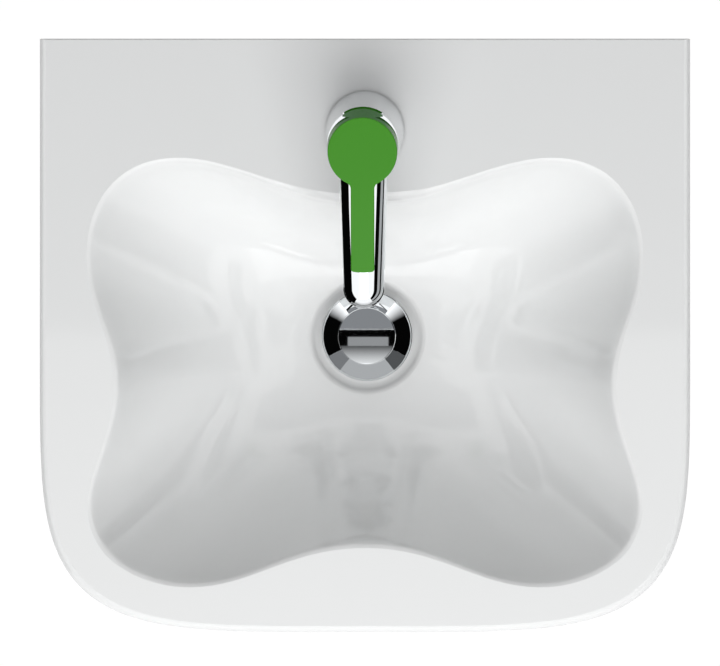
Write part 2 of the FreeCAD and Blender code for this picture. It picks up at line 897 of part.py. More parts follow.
def make_grip():
    """Flat grip with a bowed end, thinner towards it."""
    half = grip_width / 2
    low = lever_top - grip_thickness
    side_reach = grip_reach - grip_bow
    root_right, root_left = V(half, -lever_forward, low), V(-half, -lever_forward, low)
    tip_right, tip_left = V(half, -side_reach, low), V(-half, -side_reach, low)
    outline = Part.Wire([
        Part.makeLine(root_right, tip_right),
        Part.Arc(tip_right, V(0, -grip_reach, low), tip_left).toShape(),
        Part.makeLine(tip_left, root_left),
        Part.makeLine(root_left, root_right),
    ])
    grip = Part.Face(outline).extrude(UP * grip_thickness)
    corners = [e for e in grip.Edges if is_upright(e) and e.BoundBox.YMax < -lever_radius - lever_forward]
    grip = grip.makeFillet(grip_corner_radius, corners)
    thinning = grip_thickness - grip_tip_thickness
    under = prism([
        V(-half, -lever_forward, low),
        V(-half, -grip_reach, low),
        V(-half, -grip_reach, low + thinning),
    ], ACROSS * grip_width)
    return grip.cut(under)


def is_upright(edge):
    """Whether an edge runs straight up."""
    box = edge.BoundBox
    return box.ZLength > box.XLength + box.YLength


def lever_head():
    """Hollow head whose underside clears the collar at full lift."""
    low = neck_height + lever_gap
    head = oblique_cone(neck_radius, lever_radius, low, lever_top, lever_forward)
    hollow = oblique_cone(neck_radius - lever_wall, lever_radius - lever_wall, low,
                          lever_top - lever_crown, lever_forward)
    head = head.cut(hollow)
    slope = math.tan(math.radians(lift_degrees))
    cosine = math.cos(math.radians(lift_degrees))
    clear = (neck_height + body_gap - pivot_height) / cosine + pivot_height
    start = (low - clear) / slope
    back = 2 * neck_radius
    wedge_side = [
        V(-back, start, low),
        V(-back, back, clear + back * slope),
        V(-back, back, low - overrun),
        V(-back, start, low - overrun),
    ]
    wedge = prism(wedge_side, ACROSS * (2 * back))
    half = tongue_width / 2
    tongue_zone = block(-half, half, notch_from_axis + body_gap, back, low - overrun, lever_top)
    return head.cut(wedge.cut(tongue_zone))


def make_lever():
    """Lacquered lever: head, grip, tongue and the hub over the stem."""
    hub = cylinder(hub_radius, hub_bottom, lever_top - lever_crown)
    whole = fuse_all([lever_head(), make_grip(), hub])
    roots = [e for e in whole.Edges if is_grip_root(e)]
    whole = whole.makeFillet(grip_root_radius, roots)
    half = stem_width / 2 + pin_gap
    socket = block(-half, half, -half, half, hub_bottom, stem_top + body_gap)
    start = V(0, 0, screw_height)
    screw = rod(start, V(0, hub_radius + body_gap, screw_height), screw_radius)
    access = rod(start, V(0, 2 * neck_radius, screw_height), screw_radius + body_gap)
    whole = cut_all(whole, [socket, screw, access])
    crown = [e for e in whole.Edges if is_crown_edge(e)]
    return lean(whole.makeFillet(lever_edge_radius, crown))


def is_grip_root(edge):
    """Whether an edge is an inner corner between head and grip."""
    box = edge.BoundBox
    tall = is_upright(edge) and box.ZLength > grip_tip_thickness
    near_side = abs(abs(box.Center.x) - grip_width / 2) < lever_edge_radius
    return tall and near_side and -lever_radius - lever_forward < box.YMin and box.YMax < -lever_forward


def is_crown_edge(edge):
    """Whether an edge bounds the lever's top face."""
    return edge.BoundBox.ZMin > lever_top - lever_edge_radius / 2


def make_lever_screw():
    """Grub screw from the back of the hub on to the stem."""
    start = V(0, stem_width / 2 + pin_gap, screw_height)
    return lean(rod(start, V(0, hub_radius - screw_recess, screw_height), screw_radius - thread_gap))


def make_lever_plug():
    """Plug that closes the screw's hole in the tongue."""
    share = (screw_height - neck_height) / (lever_top - neck_height)
    surface = neck_radius + (lever_radius - lever_forward - neck_radius) * share
    start = V(0, surface - plug_thickness, screw_height)
    return lean(rod(start, start.add(TO_WALL * plug_thickness), screw_radius + body_gap / 2))


# Aerator

def make_aerator_housing():
    """Chromed ring that screws into the outlet."""
    x, y = outlet_place.x, outlet_place.y
    skirt = cylinder(aerator_ring_radius, outlet_face - aerator_lip, outlet_face, x, y)
    thread_top = outlet_face + aerator_insert_height
    thread = cylinder(aerator_bore_radius - thread_gap, outlet_face, thread_top, x, y)
    bore_radius = aerator_bore_radius - aerator_wall
    bore = cylinder(bore_radius, outlet_face, thread_top, x, y)
    mouth = cylinder(bore_radius - aerator_wall, outlet_face - aerator_lip, outlet_face, x, y)
    return cut_all(fuse_all([skirt, thread]), [bore, mouth])


def make_aerator_insert():
    """Plastic insert with a ring of jets."""
    x, y = outlet_place.x, outlet_place.y
    low, high = outlet_face, outlet_face + aerator_insert_height
    insert = cylinder(aerator_bore_radius - aerator_wall - thread_gap, low, high, x, y)
    jets = [cylinder(aerator_hole_radius, low, high, x, y)]
    jet_circle = aerator_bore_radius / 2
    for jet in range(aerator_ring_holes):
        angle = math.radians(360 * jet / aerator_ring_holes)
        jet_x = x + jet_circle * math.cos(angle)
        jet_y = y + jet_circle * math.sin(angle)
        jets.append(cylinder(aerator_hole_radius, low, high, jet_x, jet_y))
    return cut_all(insert, jets)


def make_aerator_washer():
    """Rubber washer above the housing and insert."""
    low = outlet_face + aerator_insert_height
    outer = aerator_bore_radius - thread_gap
    inner = waterway_radius
    return ring(outer, inner, low, low + aerator_washer_height, outlet_place.x, outlet_place.y)


# Waste

def waste_outside():
    """Flange, its cone and the tube before any bore."""
    tube = cylinder(tube_radius, tube_bottom, flange_bottom, 0, drain_y)
    cone_low = flange_bottom - flange_cone_depth
    cone = taper(tube_radius, flange_cone_radius, cone_low, flange_bottom, 0, drain_y)
    flange = cylinder(flange_radius, flange_bottom, flange_top, 0, drain_y)
    return fuse_all([tube, cone, flange])


def make_waste_body():
    """Chromed flange and tube with overflow windows and a spoked hub."""
    whole = waste_outside()
    bore_radius = tube_radius - tube_wall
    bore = cylinder(bore_radius, tube_bottom, flange_top, 0, drain_y)
    seat_low = flange_top - flange_cone_depth
    seat = taper(bore_radius, flange_seat_radius, seat_low, flange_top, 0, drain_y)
    windows = []
    for turn in range(window_count):
        window = block(0, tube_radius + overrun, -window_width / 2, window_width / 2,
                       seat_bottom, seat_bottom + window_height)
        window.rotate(V(0, 0, 0), UP, first_window_degrees + turn * 360 / window_count)
        window.translate(V(0, drain_y, 0))
        windows.append(window)
    relief_low = tube_bottom + tail_length
    relief = ring(tube_radius + overrun, tube_radius - relief_depth,
                  relief_low, relief_low + relief_width, 0, drain_y)
    whole = cut_all(whole, [bore, seat, relief] + windows)
    return fuse_all([whole, waste_spider()])


def waste_spider():
    """Hub and spokes inside the tube."""
    low = spider_top - spoke_height
    hub = cylinder(hub_outer_radius, low, spider_top, 0, drain_y)
    arms = []
    for turn in range(spoke_count):
        reach = tube_radius - tube_wall / 2
        arm = block(0, reach, -spoke_thickness / 2, spoke_thickness / 2, low, spider_top)
        arm.rotate(V(0, 0, 0), UP, first_spoke_degrees + turn * 360 / spoke_count)
        arm.translate(V(0, drain_y, 0))
        arms.append(arm)
    spider = fuse_all([hub] + arms)
    return spider.cut(cylinder(barrel_radius + thread_gap, low, spider_top, 0, drain_y))


def make_flange_gasket():
    """Dished rubber ring between the flange and the ceramic."""
    flat = cylinder(flange_radius, recess_floor, flange_bottom, 0, drain_y)
    return fuse_all([flat, waste_countersink()]).cut(waste_outside())


def make_lower_gasket():
    """Tapered rubber ring under the waste boss."""
    washer_radius = waste_hole_radius + body_gap
    cone = taper(lower_gasket_radius, washer_radius + body_gap,
                 lower_gasket_bottom, boss_bottom, 0, drain_y)
    flat = cylinder(lower_gasket_radius, lower_gasket_bottom, boss_bottom, 0, drain_y)
    bore = cylinder(tube_radius + thread_gap, lower_gasket_bottom, boss_bottom, 0, drain_y)
    return fuse_all([cone, flat]).cut(bore)


def make_slip_washer():
    """Plastic washer between the rubber and the nut."""
    inner = tube_radius + thread_gap
    return ring(lower_gasket_radius, inner, washer_bottom, lower_gasket_bottom, 0, drain_y)


def make_back_nut():
    """Hexagon nut on the waste tube."""
    low = washer_bottom - back_nut_height
    nut = hexagon(back_nut_across_flats, low, washer_bottom, 0, drain_y)
    return nut.cut(cylinder(tube_radius + thread_gap, low, washer_bottom, 0, drain_y))


def make_click_housing():
    """Barrel of the push mechanism, closed below."""
    barrel = cylinder(barrel_radius, barrel_bottom, barrel_top, 0, drain_y)
    bore = cylinder(barrel_bore_radius, barrel_bottom + barrel_cap, barrel_top - barrel_cap, 0, drain_y)
    mouth = cylinder(plunger_radius + running_gap, barrel_top - barrel_cap, barrel_top, 0, drain_y)
    return cut_all(barrel, [bore, mouth])


def stopper_profile():
    """Half section of the mushroom cap, outside first."""
    top = stopper_low + stopper_rise
    shoulder = top - crown_step
    rim_top = stopper_low + stopper_rim
    inner_top = top - stopper_shell
    bulge_radius = (stopper_radius + crown_radius) / 2
    drop = shoulder - rim_top
    bulge = V(bulge_radius + stopper_rim, 0, rim_top + drop * stopper_bulge_share)
    inner_radius = stopper_radius - stopper_shell
    edges = [
        Part.makeLine(V(0, 0, top), V(crown_radius - crown_step, 0, top)),
        Part.makeLine(V(crown_radius - crown_step, 0, top), V(crown_radius, 0, shoulder)),
        Part.Arc(V(crown_radius, 0, shoulder), bulge, V(stopper_radius, 0, rim_top)).toShape(),
        Part.makeLine(V(stopper_radius, 0, rim_top), V(stopper_radius, 0, stopper_low)),
        Part.makeLine(V(stopper_radius, 0, stopper_low), V(inner_radius, 0, stopper_low)),
        Part.makeLine(V(inner_radius, 0, stopper_low), V(crown_radius, 0, inner_top)),
        Part.makeLine(V(crown_radius, 0, inner_top), V(0, 0, inner_top)),
        Part.makeLine(V(0, 0, inner_top), V(0, 0, top)),
    ]
    return Part.Wire(edges)


def seal_low():
    """Underside of the stopper's seal."""
    return stopper_low - stopper_seal_height


def make_stopper_cap():
    """Chromed mushroom cap with a flat crown and a threaded boss."""
    cap = Part.Face(stopper_profile()).revolve(V(0, 0, 0), UP, 360)
    cap.translate(V(0, drain_y, 0))
    boss_top = stopper_low + stopper_rise - stopper_shell / 2
    boss = cylinder(stopper_boss_radius, stopper_low, boss_top, 0, drain_y)
    web = cylinder(stopper_seal_radius - stopper_rim, stopper_low, stopper_low + stopper_rim, 0, drain_y)
    whole = fuse_all([cap, boss, web])
    return whole.cut(cylinder(plunger_radius + thread_gap, stopper_low, plunger_top(), 0, drain_y))


def plunger_top():
    """Upper end of the plunger inside the cap's boss."""
    return stopper_low + stopper_rise - stopper_shell


def make_stopper_seal():
    """Rubber ring under the cap."""
    return ring(stopper_seal_radius, stopper_boss_radius, seal_low(), stopper_low, 0, drain_y)


def plunger_low():
    """Underside of the plunger's head."""
    return barrel_top - barrel_cap - body_gap - plunger_head_height


def make_plunger():
    """Rod with a head that the spring lifts."""
    head_top = plunger_low() + plunger_head_height
    return fuse_all([
        cylinder(plunger_radius, plunger_low(), plunger_top(), 0, drain_y),
        cylinder(plunger_head_radius, plunger_low(), head_top, 0, drain_y),
    ])


def helix_point(radius, pitch, angle, low):
    """Point on a helix after an angle."""
    return V(radius * math.cos(angle), radius * math.sin(angle), low + pitch * angle / math.tau)


def helix_tangent(radius, pitch, angle):
    """Unit direction of a helix after an angle."""
    along = V(-radius * math.sin(angle), radius * math.cos(angle), pitch / math.tau)
    return along.normalize()


def arc_leaving(start, way, end):
    """Arc that leaves its start in a given direction and reaches its end."""
    across = end.sub(start)
    inward = way.cross(across).cross(way).normalize()
    radius = across.dot(across) / (2 * inward.dot(across))
    centre = start + inward * radius
    towards = ((start + end) * (1 / 2)).sub(centre).normalize()
    return Part.Arc(start, centre + towards * radius, end).toShape()


def biarc(start, start_way, end, end_way):
    """Two arcs that leave one point and reach another in the given directions."""
    chord = end.sub(start)
    square = 2 * (1 - start_way.dot(end_way))
    linear = 2 * chord.dot(start_way.add(end_way))
    reach = (-linear + math.sqrt(linear ** 2 + 4 * square * chord.dot(chord))) / (2 * square)
    middle = (start + start_way * reach + end - end_way * reach) * (1 / 2)
    middle_way = (middle - start - start_way * reach).normalize()
    return [arc_leaving(start, start_way, middle), arc_leaving(middle, middle_way, end)]


def make_click_spring():
    """Coil spring of square wire under the plunger's head."""
    half = spring_wire / 2
    low = barrel_bottom + barrel_cap + half + body_gap
    high = plunger_low() - half - body_gap
    pitch = (high - low) / spring_turns
    step = math.tau / spring_arcs
    edges = []
    for count in range(spring_arcs * spring_turns):
        a, b = count * step, (count + 1) * step
        edges += biarc(helix_point(spring_radius, pitch, a, low), helix_tangent(spring_radius, pitch, a),
                       helix_point(spring_radius, pitch, b, low), helix_tangent(spring_radius, pitch, b))
    inner, outer = spring_radius - half, spring_radius + half
    corners = [V(inner, 0, low - half), V(outer, 0, low - half),
               V(outer, 0, low + half), V(inner, 0, low + half)]
    spring = Part.BRepOffsetAPI.MakePipeShell(Part.Wire(edges))
    spring.setBiNormalMode(UP)
    spring.add(Part.makePolygon(corners + corners[:1]))
    spring.build()
    spring.makeSolid()
    coil = spring.shape()
    coil.translate(V(0, drain_y, 0))
    return coil


NODES = {
    "basin": make_basin,
    "tap_body": make_tap_body,
    "base_gasket": make_base_gasket,
    "fixing_stud": make_fixing_stud,
    "clamp_rubber": make_clamp_rubber,
    "clamp_plate": make_clamp_plate,
    "fixing_nut": make_fixing_nut,
    "cartridge_base": make_cartridge_base,
    "port_seals": make_port_seals,
    "fixed_disc": make_fixed_disc,
    "moving_disc": make_moving_disc,
    "disc_carrier": make_disc_carrier,
    "cartridge_housing": make_cartridge_housing,
    "rotor": make_rotor,
    "rotor_seal": make_rotor_seal,
    "pivot_pin": make_pivot_pin,
    "stem": make_stem,
    "cartridge_nut": make_cartridge_nut,
    "turning_collar": make_turning_collar,
    "lever": make_lever,
    "lever_screw": make_lever_screw,
    "lever_plug": make_lever_plug,
    "aerator_housing": make_aerator_housing,
    "aerator_insert": make_aerator_insert,
    "aerator_washer": make_aerator_washer,
    "waste_body": make_waste_body,
    "flange_gasket": make_flange_gasket,
    "lower_gasket": make_lower_gasket,
    "slip_washer": make_slip_washer,
    "back_nut": make_back_nut,
    "click_housing": make_click_housing,
    "stopper_cap": make_stopper_cap,
    "stopper_seal": make_stopper_seal,
    "plunger": make_plunger,
    "click_spring": make_click_spring,
}


def main():
    """Build every piece and write it to its own file."""
    os.makedirs("parts", exist_ok=True)
    for name, make in NODES.items():
        shape = make()
        shape.translate(V(0, 0, bolt_below_deck))
        shape.exportStep(os.path.join("parts", name + ".step"))
        print(name, "solids", len(shape.Solids), "valid", shape.isValid(), "volume", round(shape.Volume))


main()
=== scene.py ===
"""Hand basin with a single-lever tap and a push waste, dressed and lit for a look from straight above."""

from __future__ import annotations

import json
import logging
import math
from dataclasses import dataclass, field
from enum import Enum

import bmesh
import bpy
from mathutils import Matrix, Vector

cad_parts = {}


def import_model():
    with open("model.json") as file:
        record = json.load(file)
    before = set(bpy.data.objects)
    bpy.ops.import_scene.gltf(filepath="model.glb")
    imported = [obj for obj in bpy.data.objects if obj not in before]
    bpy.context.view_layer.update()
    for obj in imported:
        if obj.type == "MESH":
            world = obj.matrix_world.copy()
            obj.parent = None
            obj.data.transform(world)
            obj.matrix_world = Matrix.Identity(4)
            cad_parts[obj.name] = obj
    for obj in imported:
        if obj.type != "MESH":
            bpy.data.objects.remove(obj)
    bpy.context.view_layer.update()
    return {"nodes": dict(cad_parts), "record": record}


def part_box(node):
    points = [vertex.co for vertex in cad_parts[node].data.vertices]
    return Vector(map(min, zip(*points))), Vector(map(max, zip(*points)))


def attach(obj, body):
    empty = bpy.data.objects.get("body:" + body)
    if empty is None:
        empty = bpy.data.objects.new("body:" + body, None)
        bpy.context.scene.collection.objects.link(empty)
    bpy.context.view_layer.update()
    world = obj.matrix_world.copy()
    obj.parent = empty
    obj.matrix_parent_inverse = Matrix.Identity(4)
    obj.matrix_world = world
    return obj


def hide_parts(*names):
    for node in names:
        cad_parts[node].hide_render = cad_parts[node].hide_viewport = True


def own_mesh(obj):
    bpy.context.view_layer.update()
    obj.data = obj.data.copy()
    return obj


log = logging.getLogger("hand_basin")

MM = 0.001
FIXED = "basin_and_fixings"
LEVER = "lever"
# Middle of the deck, and how far the waste's axis lies from it, in metres.
DECK_MIDDLE_Y = -0.205
DRAIN_Y = -0.002
# Cuts across a brim that is bent to a fan.
FAN_CUTS = 7
QUARTER = 90.0
# Corners nearer than this, in millimetres, are one.
TINY = 0.0005
# Edges that turn by less than this are smooth.
SMOOTH_DEGREES = 32.0
# Sides of a round bar, of a nut's turned blank, of a small screw, of a spring's wire and of a hexagon.
ROUND_SIDES = 64
BLANK_SIDES = 96
SCREW_SIDES = 48
WIRE_SIDES = 16
HEXAGON = 6
# Steps in one turn of a winding, and half a groove's height as a share of its pitch.
COIL_STEPS = 28
GROOVE_SHARE = 0.46

Colour = tuple[float, float, float, float]
Point = tuple[float, float, float]


def linear(shade: str) -> Colour:
    """Turns an sRGB hex value into a linear colour.

    Args:
        shade: Six hex digits.

    Returns:
        Linear red, green, blue and an alpha of one.
    """
    parts = [int(shade[i:i + 2], 16) / 255 for i in (0, 2, 4)]
    values = [p / 12.92 if p <= 0.04045 else ((p + 0.055) / 1.055) ** 2.4 for p in parts]
    return (values[0], values[1], values[2], 1.0)


def add_node(tree: bpy.types.NodeTree, kind: str, settings: dict | None = None,
             links: dict | None = None) -> bpy.types.Node:
    """Adds a shader node with its settings and links.

    Args:
        tree: Node tree that takes the node.
        kind: Blender's name for the node.
        settings: Values by the name of a node property or an input socket.
        links: Output sockets by the name or number of the input that each feeds.

    Returns:
        The new node.
    """
    node = tree.nodes.new(kind)
    for name, value in (settings or {}).items():
        if isinstance(name, str) and hasattr(node, name):
            setattr(node, name, value)
        else:
            node.inputs[name].default_value = value
    for name, source in (links or {}).items():
        tree.links.new(source, node.inputs[name])
    return node


def bare_tree(owner: bpy.types.Material | bpy.types.World) -> bpy.types.NodeTree:
    """Empty node tree of a new material or world."""
    owner.use_nodes = True
    owner.node_tree.nodes.clear()
    return owner.node_tree


class Mark(Enum):
    """What the surface of a finish shows close up."""

    RIPPLE = "soft waves of a glaze or a lacquer"
    GRAIN = "fine grain of a mould or a casting"
    TURNED = "rings left by a lathe"
    SPANGLE = "crystals of a zinc coat"
    DRAWN = "lines of a drawn wire"


@dataclass(frozen=True)
class Finish:
    """One material of the basin, from what the real one is made of.

    Sizes are in millimetres on the object. A drift is a slow change over the surface. Grains and
    crystals that are finer than a tenth of a millimetre in life are drawn coarser, so that they show.
    """

    name: str
    shade: str
    roughness: float
    mark: Mark
    mark_size: float
    mark_depth: float
    metallic: float = 0.0
    ior: float = 1.5
    specular: float = 0.5
    drift_size: float = 60.0
    shade_drift: float = 0.04
    roughness_drift: float = 0.04
    ring_stretch: float = 20.0
    ring_waver: float = 0.4
    drawn_scale: Point = (1.0, 1.0, 0.08)

    def material(self) -> bpy.types.Material:
        """Builds the finish as a material.

        Returns:
            The new material.
        """
        made = bpy.data.materials.new(self.name)
        tree = bare_tree(made)
        place = add_node(tree, "ShaderNodeTexCoord").outputs["Object"]
        shader = self.shader(tree, place)
        add_node(tree, "ShaderNodeOutputMaterial", links={"Surface": shader.outputs[0]})
        return made

    def shader(self, tree: bpy.types.NodeTree, place: bpy.types.NodeSocket) -> bpy.types.Node:
        """Adds the shader with its colour drift, roughness drift and surface mark.

        Args:
            tree: Node tree of the material.
            place: Coordinates on the object, in metres.

        Returns:
            The shader node.
        """
        drift = add_node(tree, "ShaderNodeTexNoise", {"Scale": 1 / (self.drift_size * MM), "Detail": 2.0},
                         {"Vector": place}).outputs["Fac"]
        settings = {"Metallic": self.metallic}
        if not self.metallic:
            settings |= {"IOR": self.ior, "Specular IOR Level": self.specular}
        return add_node(tree, "ShaderNodeBsdfPrincipled", settings, {
            "Base Color": self.coloured(tree, place, drift),
            "Roughness": self.roughened(tree, drift),
            "Normal": self.relief(tree, self.marked(tree, place)),
        })

    def coloured(self, tree: bpy.types.NodeTree, place: bpy.types.NodeSocket,
                 drift: bpy.types.NodeSocket) -> bpy.types.NodeSocket:
        """Colour that grows a little darker and lighter over the surface."""
        red, green, blue, _ = linear(self.shade)
        darker = tuple(max(0.0, c * (1 - self.shade_drift)) for c in (red, green, blue)) + (1.0,)
        lighter = tuple(min(1.0, c * (1 + self.shade_drift)) for c in (red, green, blue)) + (1.0,)
        return add_node(tree, "ShaderNodeMix", {"data_type": "RGBA", 6: darker, 7: lighter},
                        {0: drift}).outputs[2]

    def roughened(self, tree: bpy.types.NodeTree, drift: bpy.types.NodeSocket) -> bpy.types.NodeSocket:
        """Roughness that drifts about its middle value."""
        low = max(0.0, self.roughness - self.roughness_drift)
        high = min(1.0, self.roughness + self.roughness_drift)
        return add_node(tree, "ShaderNodeMapRange", {"To Min": low, "To Max": high},
                        {"Value": drift}).outputs[0]

    def marked(self, tree: bpy.types.NodeTree, place: bpy.types.NodeSocket) -> bpy.types.NodeSocket:
        """Height pattern of the surface mark, from zero to one."""
        scale = 1 / (self.mark_size * MM)
        if self.mark is Mark.SPANGLE:
            return add_node(tree, "ShaderNodeTexVoronoi", {"Scale": scale},
                            {"Vector": place}).outputs["Distance"]
        if self.mark is Mark.TURNED:
            return add_node(tree, "ShaderNodeTexWave", {"wave_type": "BANDS", "bands_direction": "Z",
                                                        "Scale": scale / self.ring_stretch,
                                                        "Distortion": self.ring_waver},
                            {"Vector": place}).outputs["Fac"]
        if self.mark is Mark.DRAWN:
            place = add_node(tree, "ShaderNodeMapping", {"Scale": self.drawn_scale},
                             {"Vector": place}).outputs[0]
        detail = 0.0 if self.mark is Mark.RIPPLE else 4.0
        return add_node(tree, "ShaderNodeTexNoise", {"Scale": scale, "Detail": detail},
                        {"Vector": place}).outputs["Fac"]

    def relief(self, tree: bpy.types.NodeTree, height: bpy.types.NodeSocket) -> bpy.types.NodeSocket:
        """Normals of the height pattern at its real depth."""
        return add_node(tree, "ShaderNodeBump", {"Strength": 1.0, "Distance": self.mark_depth * MM},
                        {"Height": height}).outputs[0]


@dataclass(frozen=True)
class CastGlaze(Finish):
    """Glazed ceramic that is left bare where the casting meets the wall."""

    bare_shade: str = "e2dcd0"
    bare_roughness: float = 0.85
    bare_depth: float = 0.6

    def coloured(self, tree: bpy.types.NodeTree, place: bpy.types.NodeSocket,
                 drift: bpy.types.NodeSocket) -> bpy.types.NodeSocket:
        """Glaze colour, with the bare body's colour on the face against the wall."""
        glazed = super().coloured(tree, place, drift)
        return add_node(tree, "ShaderNodeMix", {"data_type": "RGBA", 7: linear(self.bare_shade)},
                        {0: self.bare(tree, place), 6: glazed}).outputs[2]

    def bare(self, tree: bpy.types.NodeTree, place: bpy.types.NodeSocket) -> bpy.types.NodeSocket:
        """One on the face against the wall and nought elsewhere."""
        depth = add_node(tree, "ShaderNodeSeparateXYZ", links={"Vector": place}).outputs["Y"]
        return add_node(tree, "ShaderNodeMapRange", {"From Min": -self.bare_depth * MM, "From Max": 0.0},
                        {"Value": depth}).outputs[0]


FINISHES: dict[str, Finish] = {
    # Vitreous china under a clear lead-free glaze: white, wet-looking, with a very faint ripple.
    "white_glaze": CastGlaze("glazed_vitreous_china", "eeefef", 0.06, Mark.RIPPLE, 16.0, 0.010,
                             ior=1.5, shade_drift=0.008, roughness_drift=0.02, drift_size=90.0),
    # Bright chrome plated on brass or zinc and buffed: a clean mirror.
    "chrome_plate": Finish("bright_chrome_plate", "dee1e3", 0.012, Mark.RIPPLE, 22.0, 0.0008,
                           metallic=1.0, shade_drift=0.01, roughness_drift=0.006),
    # Lacquer sprayed on a zinc casting: even colour with a soft sheen and a trace of its spray.
    "green_lacquer": Finish("sprayed_green_lacquer", "418f1e", 0.16, Mark.RIPPLE, 3.0, 0.0012,
                            ior=1.46, specular=0.2, shade_drift=0.03, roughness_drift=0.05),
    # ABS moulded to match the lever, in the same colour and sheen.
    "green_plastic": Finish("moulded_green_abs", "418f1e", 0.16, Mark.RIPPLE, 3.0, 0.0012,
                            ior=1.46, specular=0.2),
    # Moulded rubbers: matt, with the fine grain of the mould.
    "black_rubber": Finish("moulded_black_epdm", "1d1d1e", 0.62, Mark.GRAIN, 0.5, 0.010, shade_drift=0.12),
    "grey_rubber": Finish("moulded_grey_nitrile", "55585a", 0.58, Mark.GRAIN, 0.5, 0.010, shade_drift=0.10),
    # Brass turned from the bar: warm yellow, with the rings of the lathe.
    "brass": Finish("turned_brass", "c9a65b", 0.24, Mark.TURNED, 0.35, 0.006, metallic=1.0, drift_size=8.0),
    # Steel under a thin zinc coat: pale, half matt, with small crystals.
    "zinc_steel": Finish("zinc_plated_steel", "b9bdc0", 0.34, Mark.SPANGLE, 1.2, 0.010, metallic=1.0,
                         drift_size=6.0, roughness_drift=0.08),
    # Moulded plastics of the cartridge and the jet: satin, with a faint grain.
    "white_plastic": Finish("moulded_white_acetal", "e6e6e1", 0.42, Mark.GRAIN, 0.6, 0.004,
                            drift_size=20.0),
    "grey_plastic": Finish("moulded_grey_polypropylene", "9a9fa2", 0.46, Mark.GRAIN, 0.6, 0.005,
                           drift_size=20.0),
    # Alumina lapped flat for the control discs: cream, smooth and faintly glossy.
    "control_ceramic": Finish("lapped_alumina", "efe9dc", 0.16, Mark.GRAIN, 0.2, 0.0015, ior=1.76),
    # Hard-drawn spring wire: grey steel with fine lines along it.
    "spring_steel": Finish("drawn_spring_steel", "9b9da0", 0.28, Mark.DRAWN, 0.3, 0.004, metallic=1.0),
}


@dataclass
class Dresser:
    """Gives each piece the finish of its slot in the record."""

    record: dict
    made: dict[str, bpy.types.Material] = field(default_factory=dict)

    def finish(self, slot: str) -> bpy.types.Material:
        """Material of one slot, built once."""
        if slot not in self.made:
            self.made[slot] = FINISHES[slot].material()
        return self.made[slot]

    def dress(self, piece: bpy.types.Object, slot: str) -> None:
        """Puts a slot's finish on a piece."""
        piece.data.materials.clear()
        piece.data.materials.append(self.finish(slot))

    def dress_nodes(self, nodes: dict[str, bpy.types.Object]) -> None:
        """Puts its finish on every node that came with the frame."""
        for part in self.record["subparts"]:
            self.dress(nodes[part["node"]], part["material_slot"])
            log.info("dressed %s as %s", part["node"], FINISHES[part["material_slot"]].name)


def alone() -> None:
    """Leaves nothing selected, so that the next primitive is shaped by itself."""
    if bpy.context.object and bpy.context.object.mode != "OBJECT":
        bpy.ops.object.mode_set(mode="OBJECT")
    bpy.ops.object.select_all(action="DESELECT")


def move(piece: bpy.types.Object, way: Matrix) -> None:
    """Carries a piece's mesh, and leaves the piece itself at the origin."""
    piece.data.transform(way)


def only(piece: bpy.types.Object) -> None:
    """Selects one piece and makes it the active one."""
    alone()
    piece.select_set(True)
    bpy.context.view_layer.objects.active = piece


def bar(radius: float, low: float, high: float, sides: int = ROUND_SIDES) -> bpy.types.Object:
    """Adds an upright bar round the Z axis.

    Args:
        radius: Radius to its corners in millimetres.
        low: Height of its lower end.
        high: Height of its upper end.
        sides: Sides of its outline.

    Returns:
        The bar, with its faces still flat.
    """
    alone()
    bpy.ops.mesh.primitive_cylinder_add(vertices=sides, radius=radius, depth=high - low)
    made = bpy.context.object
    move(made, Matrix.Translation((0, 0, (low + high) / 2)))
    return made


def pick_end(piece: bpy.types.Object, upper: bool) -> float:
    """Selects the flat end of a bar in edit mode.

    Args:
        piece: Bar to shape.
        upper: Whether the upper end is wanted.

    Returns:
        Height of that end.
    """
    only(piece)
    heights = [corner.co.z for corner in piece.data.vertices]
    level = max(heights) if upper else min(heights)
    bpy.ops.object.mode_set(mode="EDIT")
    bpy.ops.mesh.select_mode(type="FACE")
    bpy.ops.mesh.select_all(action="DESELECT")
    mesh = bmesh.from_edit_mesh(piece.data)
    for face in mesh.faces:
        face.select = all(abs(corner.co.z - level) < TINY for corner in face.verts)
    bmesh.update_edit_mesh(piece.data)
    return level


def taper_end(piece: bpy.types.Object, upper: bool, rise: float, share: float) -> None:
    """Draws one end of a bar out and in, as a chamfer.

    Args:
        piece: Bar to shape.
        upper: Whether it is the upper end.
        rise: Height of the chamfer in millimetres.
        share: Radius at the end as a share of the bar's.
    """
    level = pick_end(piece, upper)
    way = rise if upper else -rise
    bpy.ops.mesh.extrude_region_move(TRANSFORM_OT_translate={"value": (0, 0, way)})
    bpy.ops.transform.resize(value=(share, share, 1.0), center_override=(0, 0, level + way))
    bpy.ops.object.mode_set(mode="OBJECT")


def combine(piece: bpy.types.Object, tool: bpy.types.Object, how: str) -> None:
    """Cuts a piece by a tool, or keeps what the two share, and takes the tool away.

    Args:
        piece: Piece to shape.
        tool: Closed tool.
        how: Blender's name for the operation.
    """
    only(piece)
    shaped = piece.modifiers.new("shaped", "BOOLEAN")
    shaped.operation = how
    shaped.solver = "EXACT"
    shaped.object = tool
    bpy.ops.object.modifier_apply(modifier=shaped.name)
    bpy.data.objects.remove(tool)


def settle(piece: bpy.types.Object, way: Matrix) -> None:
    """Cleans a piece's mesh, carries it to its place and smooths what is round.

    Args:
        piece: Finished piece.
        way: From the piece's own place to the scene.
    """
    move(piece, way)
    only(piece)
    bpy.ops.object.mode_set(mode="EDIT")
    bpy.ops.mesh.select_all(action="SELECT")
    bpy.ops.mesh.remove_doubles(threshold=TINY * MM)
    bpy.ops.mesh.normals_make_consistent(inside=False)
    bpy.ops.object.mode_set(mode="OBJECT")
    bpy.ops.object.shade_smooth_by_angle(angle=math.radians(SMOOTH_DEGREES))


